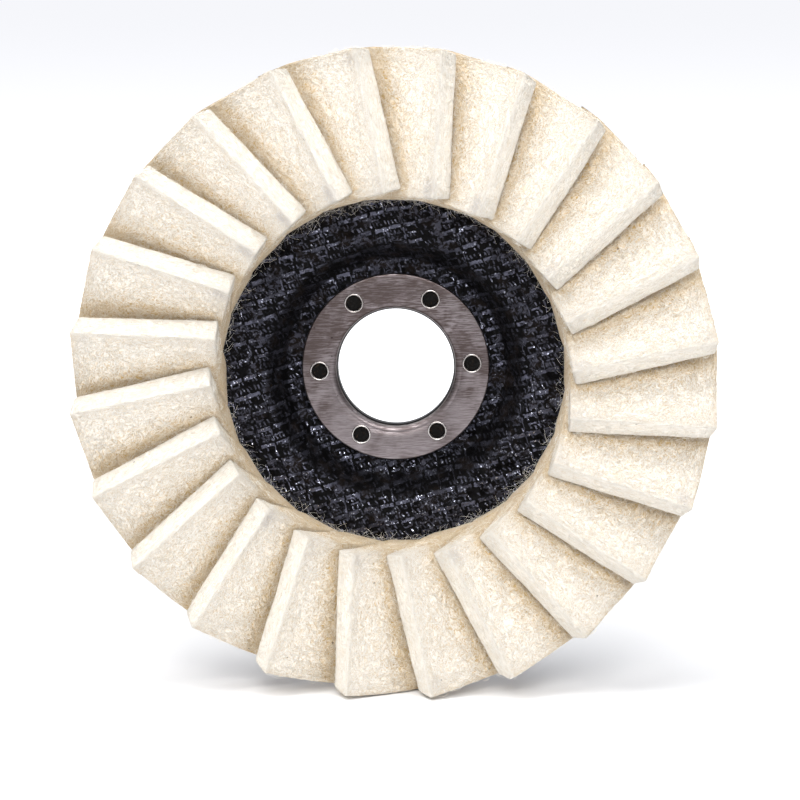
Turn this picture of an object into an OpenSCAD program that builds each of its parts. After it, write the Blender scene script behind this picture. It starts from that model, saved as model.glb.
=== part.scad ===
// Felt flap polishing wheel for a hand grinder: wool felt flaps bonded round a dished,
// glass-cloth backing plate with a steel-lined hub.
//
// Row frame: the wheel's axis is Y, the working face looks towards -Y and +Z is up.
// The origin is on the axis, half way through the clamped hub. Every sub-part is drawn
// lying flat, with its axis on local z and its working side up, and on_axle() stands it up.

/* [Hub] */
// Diameter of the hole that centres the wheel on the spindle or flange
bore_d = 22.23; // [20:0.01:23]
// Outside diameter of the front steel ring
front_ring_d = 36; // [34:0.5:39]
// Outside diameter of the back steel ring
back_ring_d = 34; // [31:0.5:38]
// Thickness of the sheet that both rings are pressed from
ring_t = 1.0; // [0.8:0.1:1.4]
// Radius of the shoulder that rolls from the front ring into its collar
shoulder_r = 1.4; // [0.8:0.1:1.6]
// Length of the straight wall of the collar, below the shoulder
collar_wall = 2.0; // [1.4:0.1:2.2]
// Number of keying holes in the front ring
key_count = 6; // [4:1:8]
// Diameter of the keying holes
key_hole_d = 3.0; // [2:0.1:3.5]
// Diameter of the circle that the keying holes are on
key_circle_d = 29.3; // [28.6:0.1:30]
// How far the first keying hole is turned from the wheel's +X side, in degrees
key_turn = 3.1; // [0:0.1:60]

/* [Backing plate] */
// Outside diameter of the backing plate
plate_d = 108; // [96:1:116]
// Thickness of each woven glass ply
ply_t = 0.5; // [0.4:0.1:0.7]
// Thickness of the resin and fibre core between the plies
core_t = 1.6; // [1.2:0.1:1.8]
// Radius of the flat floor that the hub sits on
floor_r = 20.3; // [19.8:0.1:21]
// Height of the plate's face above that floor
dish_depth = 6.35; // [5:0.05:7]
// Steepness of the dish's wall, in degrees
dish_slope = 60; // [45:1:65]

/* [Felt flaps] */
// Thickness of the felt
felt_t = 5.1; // [4:0.1:5.2]
// Distance from the axis to the inner ends of the flaps
flap_inner = 33.1; // [33:0.1:36]
// Distance from the axis to the outer ends of the flaps, along their centre lines
flap_outer = 59.9; // [56:0.1:64]
// Distance of a flap's raised edge from the radial line that it follows
edge_offset = 9.45; // [8:0.05:11]
// Lean of a flap at its inner end, in degrees
lean_inner = 38; // [36.5:0.5:41]
// Lean of a flap at its outer end, in degrees
lean_outer = 29.7; // [28:0.1:36]
// Height of the raised edge's underside above the plate, at the inner end
edge_h_inner = 7.05; // [5:0.05:9]
// Height of the raised edge's underside above the plate, at the outer end
edge_h_outer = 7.9; // [6:0.05:10]
// Clockwise turn of the first flap from the top of the wheel, in degrees
first_flap_turn = 1.8; // [0:0.1:15]

/* [Adhesive] */
// Thickness of the adhesive bed under the flaps
bed_t = 1.2; // [0.8:0.1:2]
// Width of the strip at a flap's inner end that is pressed down to the plate, past the bed
heel_len = 1.4; // [0.8:0.1:2]

/* [Hidden] */

// The mould that seats the flaps has 24 places, so the number of nodes is fixed.
FLAPS = 24;
PITCH = 360 / FLAPS;

// Clearances between pieces that go in or past each other
slip = 0.1;
// How far a cutting shape reaches past the piece that it cuts
overcut = 1;

// Levels on the local z axis
composite_t = core_t + 2 * ply_t;
floor_z = composite_t / 2;
ring_face_z = floor_z + ring_t;
plate_z = floor_z + dish_depth;

// Hub radii
bore_r = bore_d / 2;
collar_r = bore_r + ring_t;
composite_r = collar_r + slip;
back_bore_r = bore_r + 2 * slip;
collar_end_z = ring_face_z - shoulder_r - collar_wall;
rim_round = 0.4 * ring_t;
key_height = 0.7 * ring_t;

// Bends of the dish: the radii belong to the face that the flaps are on
bend_in_r = 1;
bend_slack = 0.8;
bend_out_r = composite_t + bend_slack;
bend_sum = bend_in_r + bend_out_r;
bend_out_x = floor_r + bend_sum * sin(dish_slope)
    + (dish_depth - bend_sum * (1 - cos(dish_slope))) / tan(dish_slope);
BEND_STEPS = 6;

// The bed starts beyond the heels of the flaps, whose corners are further out than their middles
bed_clear = 0.8;
bed_inset = 0.5;
bed_inner_r = flap_inner + heel_len + bed_clear;
bed_outer_r = plate_d / 2 - bed_inset;

// Shares of the way out along a flap where its outline is drawn. The step up from the plate
// to the bed takes the short stretch after the heel.
heel_share = heel_len / (flap_outer - flap_inner);
step_share = 0.002;
STATIONS = [0, heel_share, heel_share + step_share, 0.25, 0.5, 0.75, 1];

BLACK = [0.09, 0.09, 0.10];
STEEL = [0.55, 0.51, 0.51];
FELT = [0.95, 0.92, 0.86];
AMBER = [0.55, 0.42, 0.28];

$fn = 96;

function flap_name(i) = str("flap_", i < 10 ? "0" : "", i);
function mix(a, b, s) = a + (b - a) * s;
function arc(centre, r, from, to, steps) =
    [for (k = [0 : steps]) let (a = mix(from, to, k / steps)) centre + r * [cos(a), sin(a)]];

// Line of the dished plate, depth below the face that the flaps are on: hub floor, inner
// bend, wall, outer bend and outer edge.
function dish_line(depth) = concat(
    [[composite_r, floor_z - depth]],
    arc([floor_r, floor_z + bend_in_r], bend_in_r + depth, -90, dish_slope - 90, BEND_STEPS),
    arc([bend_out_x, plate_z - bend_out_r], bend_out_r - depth, dish_slope + 90, 90, BEND_STEPS),
    [[plate_d / 2, plate_z - depth]]);

function reversed(list) = [for (k = [len(list) - 1 : -1 : 0]) list[k]];

// Outline across a flap at a share s of the way out along it: raised edge's underside,
// raised edge's top, then the two ends of the foot, on the plate or on the adhesive.
function flap_outline(s) =
    let (lean = mix(lean_inner, lean_outer, s), h = mix(edge_h_inner, edge_h_outer, s))
    let (foot = s > heel_share ? bed_t : 0)
    let (top = [edge_offset - felt_t * sin(lean), h + felt_t * cos(lean)])
    [[edge_offset, h],
     top,
     [top[0] - (top[1] - foot) / tan(lean), foot],
     [edge_offset - (h - foot) / tan(lean), foot]];

// Stands a flat-drawn sub-part up: local z turns to -Y and local y to +Z.
module on_axle() rotate([90, 0, 0]) children();

module dished_layer(top_depth, bottom_depth)
    rotate_extrude()
        polygon(concat(dish_line(bottom_depth), reversed(dish_line(top_depth))));

module key_pattern(d, from_z, to_z)
    for (k = [0 : key_count - 1])
        rotate(key_turn + k * 360 / key_count)
            translate([key_circle_d / 2, 0, from_z])
                cylinder(d = d, h = to_z - from_z, $fn = 32);

// Steel ring with a collar that lines the hole in the plate
module front_hub_ring()
    color(STEEL) on_axle() difference() {
        rotate_extrude()
            polygon(concat(
                [[bore_r, collar_end_z], [collar_r, collar_end_z], [collar_r, floor_z],
                 [front_ring_d / 2, floor_z]],
                arc([front_ring_d / 2 - rim_round, ring_face_z - rim_round], rim_round,
                    0, 90, BEND_STEPS),
                arc([bore_r + shoulder_r, ring_face_z - shoulder_r], shoulder_r,
                    90, 180, 2 * BEND_STEPS)));
        key_pattern(key_hole_d, floor_z - overcut, ring_face_z + overcut);
    }

// Flat steel ring behind the plate, the face that the drive flange bears on
module back_hub_ring()
    color(STEEL) on_axle() rotate_extrude()
        polygon(concat(
            [[back_bore_r, -floor_z], [back_bore_r, rim_round - ring_face_z]],
            arc([back_bore_r + rim_round, rim_round - ring_face_z], rim_round,
                180, 270, BEND_STEPS),
            arc([back_ring_d / 2 - rim_round, rim_round - ring_face_z], rim_round,
                270, 360, BEND_STEPS),
            [[back_ring_d / 2, -floor_z]]));

// Woven glass ply on the working side, pierced where the core keys into the ring
module front_glass_ply()
    color(BLACK) on_axle() difference() {
        dished_layer(0, ply_t);
        key_pattern(key_hole_d, floor_z - ply_t - overcut, floor_z + overcut);
    }

// Pressed resin and fibre core, with the pegs that key it into the front ring
module backing_core()
    color(BLACK) on_axle() union() {
        dished_layer(ply_t, ply_t + core_t);
        key_pattern(key_hole_d - 2 * slip, floor_z - ply_t - slip, floor_z + key_height);
    }

// Woven glass ply on the drive side
module back_glass_ply()
    color(BLACK) on_axle() dished_layer(ply_t + core_t, composite_t);

// Bed of epoxy that the feet of the flaps stand in
module adhesive_bed()
    color(AMBER) on_axle() difference() {
        translate([0, 0, plate_z]) cylinder(r = bed_outer_r, h = bed_t);
        translate([0, 0, plate_z - overcut]) cylinder(r = bed_inner_r, h = bed_t + 2 * overcut);
    }

// One felt flap: its raised edge is its clockwise one, and it lies over the next flap
module flap(i) {
    points = [for (s = STATIONS) for (p = flap_outline(s))
        [p[0], mix(flap_inner, flap_outer, s), plate_z + p[1]]];
    last = 4 * (len(STATIONS) - 1);
    sides = [for (k = [0 : 4 : last - 4]) for (j = [0 : 3])
        let (a = k + j, b = k + (j + 1) % 4)
        for (face = [[a, b, b + 4], [a, b + 4, a + 4]]) face];
    color(FELT) on_axle() rotate(-first_flap_turn - (i - 1) * PITCH)
        polyhedron(points, concat(sides, [[3, 2, 1, 0], [last, last + 1, last + 2, last + 3]]));
}

front_hub_ring();
back_hub_ring();
front_glass_ply();
backing_core();
back_glass_ply();
adhesive_bed();
for (i = [1 : FLAPS])
    flap(i);
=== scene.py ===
"""Looks of a wool felt flap polishing wheel with a glass-cloth backing plate and a steel hub."""

import logging
import math
import random
from collections.abc import Callable, Iterable
from dataclasses import dataclass
from enum import Enum

import bmesh
import bpy
from mathutils import Matrix, Vector, noise


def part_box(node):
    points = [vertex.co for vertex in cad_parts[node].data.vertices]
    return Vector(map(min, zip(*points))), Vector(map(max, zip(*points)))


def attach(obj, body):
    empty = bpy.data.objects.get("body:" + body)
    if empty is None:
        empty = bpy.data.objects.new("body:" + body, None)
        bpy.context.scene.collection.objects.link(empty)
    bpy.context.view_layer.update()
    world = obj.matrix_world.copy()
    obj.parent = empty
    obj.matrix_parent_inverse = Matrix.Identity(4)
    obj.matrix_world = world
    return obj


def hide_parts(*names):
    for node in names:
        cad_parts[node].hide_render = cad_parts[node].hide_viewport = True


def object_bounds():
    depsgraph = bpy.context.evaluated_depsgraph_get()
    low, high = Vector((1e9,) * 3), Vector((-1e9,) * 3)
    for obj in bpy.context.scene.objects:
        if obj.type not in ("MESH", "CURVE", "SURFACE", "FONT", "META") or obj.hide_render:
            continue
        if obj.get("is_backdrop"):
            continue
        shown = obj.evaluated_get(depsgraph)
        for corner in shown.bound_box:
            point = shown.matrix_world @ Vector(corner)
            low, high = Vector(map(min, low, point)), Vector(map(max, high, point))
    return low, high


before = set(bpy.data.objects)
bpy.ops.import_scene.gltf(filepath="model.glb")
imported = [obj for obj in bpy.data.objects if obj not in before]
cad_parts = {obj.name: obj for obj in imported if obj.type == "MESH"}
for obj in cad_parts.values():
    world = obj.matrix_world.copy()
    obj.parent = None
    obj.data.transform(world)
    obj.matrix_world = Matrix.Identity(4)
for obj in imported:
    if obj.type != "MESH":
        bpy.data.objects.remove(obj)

LOG = logging.getLogger("felt_wheel")
MM = 0.001
BODY = "root"
# The wheel is worked out lying flat, working side up, and this stands it on its rim.
STAND = Matrix.Rotation(math.radians(90), 4, "X")
# Faces of steel that meet at a sharper angle than this keep a crisp edge.
CRISP = math.radians(32)

Triple = tuple[float, float, float]
Socket = bpy.types.NodeSocket
Material = bpy.types.Material
Object = bpy.types.Object
BMesh = bmesh.types.BMesh


class Slot(Enum):
    """Material slots of the record."""

    FELT = "felt"
    STEEL = "hub_steel"
    CLOTH = "glass_cloth"
    GLUE = "adhesive"


class Side(Enum):
    """The two faces of the backing plate, with the sign of their outward axis."""

    WORK = 1
    DRIVE = -1


def mix(a: float, b: float, share: float) -> float:
    """Value a share of the way from a to b."""
    return a + (b - a) * share


def smooth(low: float, high: float, value: float) -> float:
    """Smooth step from 0 at low to 1 at high."""
    t = min(1.0, max(0.0, (value - low) / (high - low)))
    return t * t * (3 - 2 * t)


def flat_depth(node: str) -> tuple[float, float]:
    """Lowest and highest level of a CAD node along the wheel's axis, working side up, in mm.

    Args:
        node: name of the CAD node.

    Returns:
        The two levels in millimetres.
    """
    low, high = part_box(node)
    return -high.y / MM, -low.y / MM


def node_radius(node: str) -> float:
    """Outside radius of a round CAD node, in mm."""
    low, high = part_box(node)
    return (high.x - low.x) / 2 / MM


def finish_mesh(name: str, bm: BMesh, recalc: bool = True) -> Object:
    """Turns a flat-drawn bmesh in mm into a standing object in metres.

    Args:
        name: name of the new object.
        bm: the mesh, which is freed.
        recalc: whether to turn all faces outwards first.

    Returns:
        The new object, linked to the scene, at the origin.
    """
    if recalc:
        bmesh.ops.recalc_face_normals(bm, faces=bm.faces[:])
    bmesh.ops.transform(bm, matrix=STAND @ Matrix.Scale(MM, 4), verts=bm.verts[:])
    mesh = bpy.data.meshes.new(name)
    bm.to_mesh(mesh)
    bm.free()
    mesh.shade_smooth()
    return put_in_scene(name, mesh)


def put_in_scene(name: str, data: bpy.types.ID) -> Object:
    """Makes an object of a mesh, curve, light or camera and links it to the scene.

    Args:
        name: name of the new object.
        data: what it shows.

    Returns:
        The new object, at the origin.
    """
    obj = bpy.data.objects.new(name, data)
    bpy.context.scene.collection.objects.link(obj)
    return obj


def applied(obj: Object) -> bpy.types.Mesh:
    """Copies the mesh that an object's modifiers or bevel give.

    Args:
        obj: the object, which stays as it is.

    Returns:
        The new mesh.
    """
    bpy.context.view_layer.update()
    return bpy.data.meshes.new_from_object(
        obj.evaluated_get(bpy.context.evaluated_depsgraph_get()))


def dress(obj: Object, material: Material, nodes: Iterable[str] = ()) -> Object:
    """Gives a new piece its material and its body, and hides the CAD nodes it stands for.

    Args:
        obj: the piece.
        material: the finish.
        nodes: CAD nodes that the piece replaces.

    Returns:
        The piece.
    """
    obj.data.materials.clear()
    obj.data.materials.append(material)
    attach(obj, BODY)
    if nodes:
        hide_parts(*nodes)
    LOG.info("%s: %d faces", obj.name, len(obj.data.polygons))
    return obj


# ---------------------------------------------------------------- finishes


class Shade:
    """A material or a world under construction: thin helpers over its node tree."""

    def __init__(self, name: str, world: bool = False) -> None:
        """Starts a material with a Principled shader, or a world with a Background.

        Args:
            name: its name.
            world: whether it is a world.
        """
        self.block = (bpy.data.worlds if world else bpy.data.materials).new(name)
        self.block.use_nodes = True
        self.tree = self.block.node_tree
        self.shader = self.tree.nodes["Background" if world else "Principled BSDF"]

    def node(self, kind: str, **values: object) -> bpy.types.Node:
        """Adds a node and sets its properties and inputs.

        Args:
            kind: node type without the ShaderNode prefix.
            values: a property name, or an input's name with spaces as underscores, to its value.

        Returns:
            The node.
        """
        made = self.tree.nodes.new("ShaderNode" + kind)
        for key, value in values.items():
            if hasattr(made, key):
                setattr(made, key, value)
            else:
                made.inputs[key.replace("_", " ")].default_value = value
        return made

    def link(self, out: Socket, into: Socket) -> None:
        """Links one socket to another."""
        self.tree.links.new(out, into)

    def set(self, **values: object) -> None:
        """Sets constant inputs of the shader."""
        for key, value in values.items():
            self.shader.inputs[key.replace("_", " ")].default_value = value

    def feed(self, name: str, out: Socket) -> None:
        """Links a socket to an input of the shader."""
        self.link(out, self.shader.inputs[name])

    def object_at(self) -> Socket:
        """Coordinate on the piece, in metres."""
        return self.node("TexCoord").outputs["Object"]

    def uv(self, name: str) -> Socket:
        """Coordinate that follows the surface, from one of the piece's own maps."""
        return self.node("UVMap", uv_map=name).outputs[0]

    def attribute(self, name: str) -> Socket:
        """Value stored on the piece's points."""
        return self.node("Attribute", attribute_name=name).outputs["Fac"]

    def split(self, source: Socket, kind: str = "SeparateXYZ") -> tuple[Socket, ...]:
        """Separates a coordinate, or a colour with SeparateColor, into its three parts.

        Args:
            source: the coordinate or colour.
            kind: type of the node.

        Returns:
            The three parts in order.
        """
        made = self.node(kind)
        self.link(source, made.inputs[0])
        return tuple(made.outputs)

    def math(self, operation: str, a: object, b: object = 0.0) -> Socket:
        """Adds a math node over sockets or numbers.

        Args:
            operation: name of the operation.
            a: first socket or number.
            b: second socket or number.

        Returns:
            The result.
        """
        made = self.node("Math", operation=operation)
        for socket, value in zip(made.inputs, (a, b)):
            if isinstance(value, (int, float)):
                socket.default_value = value
            else:
                self.link(value, socket)
        return made.outputs[0]

    def ramp(self, value: Socket, low: float, high: float,
             to_low: float = 0.0, to_high: float = 1.0) -> Socket:
        """Maps a value from one range to another, smoothly and clamped.

        Args:
            value: the value.
            low: start of its range.
            high: end of its range.
            to_low: result at low.
            to_high: result at high.

        Returns:
            The result.
        """
        made = self.node("MapRange", interpolation_type="SMOOTHSTEP", From_Min=low,
                         From_Max=high, To_Min=to_low, To_Max=to_high)
        self.link(value, made.inputs["Value"])
        return made.outputs["Result"]

    def colour(self, share: Socket, a: object, b: object) -> Socket:
        """Mixes two colours.

        Args:
            share: how much of b.
            a: first colour, a socket or a value.
            b: second colour, a socket or a value.

        Returns:
            The mixed colour.
        """
        made = self.node("Mix", data_type="RGBA")
        self.link(share, made.inputs[0])
        for socket, value in ((made.inputs[6], a), (made.inputs[7], b)):
            if isinstance(value, tuple):
                socket.default_value = (*value, 1.0)
            else:
                self.link(value, socket)
        return made.outputs[2]

    def place(self, source: Socket, scale: Triple, turn: float = 0.0) -> Socket:
        """Turns a coordinate about its third axis, then scales it.

        Args:
            source: the coordinate.
            scale: factors along the three axes.
            turn: angle in degrees.

        Returns:
            The new coordinate.
        """
        turned = self.node("Mapping", Rotation=(0.0, 0.0, math.radians(turn)))
        self.link(source, turned.inputs["Vector"])
        scaled = self.node("Mapping", Scale=scale)
        self.link(turned.outputs[0], scaled.inputs["Vector"])
        return scaled.outputs[0]

    def clouds(self, source: Socket, scale: float, detail: float = 3.0,
               distortion: float = 0.0, roughness: float = 0.5,
               output: str = "Fac") -> Socket:
        """Adds a noise texture.

        Args:
            source: the coordinate.
            scale: features per unit.
            detail: octaves.
            distortion: how much it swirls.
            roughness: strength of the fine octaves.
            output: Fac for its value or Color for its colour.

        Returns:
            That output, centred on a half.
        """
        made = self.node("TexNoise", Scale=scale, Detail=detail, Distortion=distortion,
                         Roughness=roughness)
        self.link(source, made.inputs["Vector"])
        return made.outputs[output]

    def stir(self, source: Socket, stirrer: Socket, amount: float) -> Socket:
        """Pushes a coordinate about by a colour.

        Args:
            source: the coordinate.
            stirrer: the colour.
            amount: how far a colour of 1 pushes it.

        Returns:
            The new coordinate.
        """
        push = self.node("VectorMath", operation="SCALE", Scale=amount)
        self.link(stirrer, push.inputs[0])
        moved = self.node("VectorMath", operation="ADD")
        self.link(source, moved.inputs[0])
        self.link(push.outputs[0], moved.inputs[1])
        return moved.outputs[0]

    def dots(self, source: Socket, scale: float, size: float, rarity: float) -> Socket:
        """Small dots in a few of the cells of a Voronoi texture.

        Args:
            source: the coordinate.
            scale: cells per unit.
            size: radius of a dot as a share of a cell.
            rarity: share of the cells that stay empty.

        Returns:
            1 inside a dot and 0 outside it.
        """
        cells = self.node("TexVoronoi", Scale=scale)
        self.link(source, cells.inputs["Vector"])
        chance, _, _ = self.split(cells.outputs["Color"], "SeparateColor")
        inside = self.ramp(cells.outputs["Distance"], size, size * 0.6)
        return self.math("MULTIPLY", inside, self.math("GREATER_THAN", chance, rarity))

    def bump(self, height: Socket, distance: float, strength: float) -> None:
        """Gives the shader a surface relief.

        Args:
            height: the relief.
            distance: metres to a height of 1.
            strength: how much of it to show, 0 to 1.
        """
        made = self.node("Bump", Distance=distance, Strength=strength)
        self.link(height, made.inputs["Height"])
        self.feed("Normal", made.outputs[0])


@dataclass(frozen=True)
class WoolFelt:
    """Cream wool felt: matted fibres, tan grain that is partly painted shade in its small pits,
    painted shade in the folds between flaps, a few dark specks and hand-soiled corners.
    """

    ivory: Triple = (0.885, 0.850, 0.795)
    fresh: Triple = (0.965, 0.935, 0.875)
    # Tan of the felt's grain, also used for painted shade in its pits and in the folds between
    # flaps.
    tan: Triple = (0.60, 0.395, 0.14)
    fibre: Triple = (0.95, 0.91, 0.84)
    speck: Triple = (0.12, 0.08, 0.05)
    soil: Triple = (0.52, 0.50, 0.51)
    # Layers of fibres that show as lines: each is finer than the last and turned further, and
    # the lines are this much sparser along their run than across it.
    layers: int = 6
    lines_per_cm: float = 15.0
    finer_each: float = 3.0
    turn_each: float = 31.0
    first_turn: float = 11.0
    sparser: float = 0.22

    def fibre_layer(self, s: Shade, base: Socket, index: int) -> Socket:
        """One layer of thin curved lines that run roughly one way.

        Args:
            s: the material.
            base: coordinate in centimetres that follows the cloth.
            index: number of the layer, which turns it and makes it finer.

        Returns:
            1 on a fibre and 0 between fibres.
        """
        density = self.lines_per_cm + self.finer_each * index
        across = s.place(base, (density, density * self.sparser, 1.0),
                         turn=self.turn_each * index + self.first_turn)
        strands = s.clouds(across, 1.0, detail=1.0, distortion=0.7)
        off = s.math("ABSOLUTE", s.math("SUBTRACT", strands, 0.5))
        return s.ramp(off, 0.045, 0.006)

    def make(self) -> Material:
        """Builds the material.

        Returns:
            The material.
        """
        s = Shade("wool_felt")
        cloth = s.uv("felt_cm")
        bent = s.stir(cloth, s.clouds(cloth, 6.0, detail=2.0, output="Color"), 0.22)
        fibres = self.fibre_layer(s, bent, 0)
        for index in range(1, self.layers):
            fibres = s.math("MAXIMUM", fibres, self.fibre_layer(s, bent, index))
        mat = s.clouds(bent, 42.0, detail=4.0, distortion=0.5, roughness=0.7)
        patches = s.ramp(s.clouds(cloth, 2.6), 0.40, 0.75, 0.0, 0.18)
        # The first attribute is painted shade in the fold under each neighbour's raised edge, and
        # depth carries it into the tone.
        depth, soiled, cut = (s.attribute(name) for name in ("painted_fold_shade", "soil", "cut"))
        # The felt's tan grain sits in the low spots of the bump, so it is partly its own tone and
        # partly painted shade in the small pits.
        tan_grain_and_pit_shade = s.ramp(mat, 0.530, 0.435)
        streaks = s.clouds(s.place(cloth, (7.0, 80.0, 1.0)), 1.0)
        # Painted shade: the folds are darkened towards tan, on top of the random patches.
        shade = s.math("ADD", s.math("MULTIPLY", depth, 0.35), patches)
        tone = s.math("MULTIPLY", tan_grain_and_pit_shade, s.math("ADD", shade, 0.52))
        tone = s.math("ADD", tone, s.math("MULTIPLY", depth, 0.60))
        tone = s.math("MULTIPLY", tone, s.ramp(cut, 0.0, 1.0, 1.0, 0.22))
        tone = s.math("ADD", tone, s.math("MULTIPLY", cut, s.ramp(streaks, 0.46, 0.66, 0.0, 0.40)))
        pale = s.colour(cut, self.ivory, self.fresh)
        ground = s.colour(tone, pale, self.tan)
        lit = s.colour(s.math("MULTIPLY", fibres, 0.36), ground, self.fibre)
        stain = s.math("MULTIPLY", soiled, s.ramp(mat, 0.35, 0.6, 0.2, 0.8))
        dirty = s.colour(stain, lit, self.soil)
        specks = s.dots(cloth, 6.0, size=0.13, rarity=0.955)
        s.feed("Base Color", s.colour(s.math("MULTIPLY", specks, 0.7), dirty, self.speck))
        s.set(Roughness=0.95, Sheen_Weight=0.12, Sheen_Roughness=0.45,
              Sheen_Tint=(1.0, 0.96, 0.90, 1.0), Specular_IOR_Level=0.12)
        height = s.math("ADD", s.math("MULTIPLY", fibres, 0.6), mat)
        s.bump(height, 0.00024, 0.8)
        return s.block


@dataclass(frozen=True)
class WoolFibre:
    """Single loose wool fibres, pale and a little translucent."""

    colour: Triple = (0.97, 0.94, 0.88)
    yellowed: Triple = (0.88, 0.80, 0.66)

    def make(self) -> Material:
        """Builds the material.

        Returns:
            The material.
        """
        s = Shade("wool_fibre")
        tone = s.clouds(s.object_at(), 900.0, detail=1.0)
        s.feed("Base Color", s.colour(s.ramp(tone, 0.4, 0.65), self.colour, self.yellowed))
        s.set(Roughness=0.7, Sheen_Weight=0.4, Sheen_Roughness=0.4, Specular_IOR_Level=0.3)
        return s.block


@dataclass(frozen=True)
class Bars:
    """One family of short flat yarn pieces on the grid of the cloth.

    A piece's centre, half size, soft edge and random shift (jitter) are in shares of a cell, and
    cells is how many of its cells there are to one of the cloth. Rarity is the share of the
    cells that stay empty, slant leans the pieces, and dimmest is the brightness of the dullest.
    """

    cells: tuple[float, float]
    centre: tuple[float, float]
    half: tuple[float, float]
    soft: tuple[float, float]
    rarity: float
    slant: float
    jitter: tuple[float, float]
    dimmest: float
    seed: float


class Yarn(Enum):
    """The families of yarn pieces that show in the cloth."""

    BAND = Bars((1, 1), (0.50, 0.84), (0.45, 0.130), (0.05, 0.035), 0.06, 0.0, (0.14, 0.08),
                0.55, 1.7)
    DASH = Bars((1, 1), (0.44, 0.41), (0.30, 0.070), (0.08, 0.030), 0.28, 0.0, (0.36, 0.14),
                0.40, 5.3)
    LOW_SLASH = Bars((4, 1), (0.50, 0.17), (0.26, 0.140), (0.12, 0.045), 0.24, -1.4, (0.34, 0.12),
                     0.35, 9.1)
    HIGH_SLASH = Bars((4, 1), (0.50, 0.61), (0.25, 0.110), (0.12, 0.040), 0.36, -1.4, (0.34, 0.12),
                      0.35, 14.9)
    WARP = Bars((1, 1), (0.96, 0.38), (0.060, 0.40), (0.03, 0.10), 0.45, -0.10, (0.08, 0.20),
                0.35, 21.3)


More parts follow.
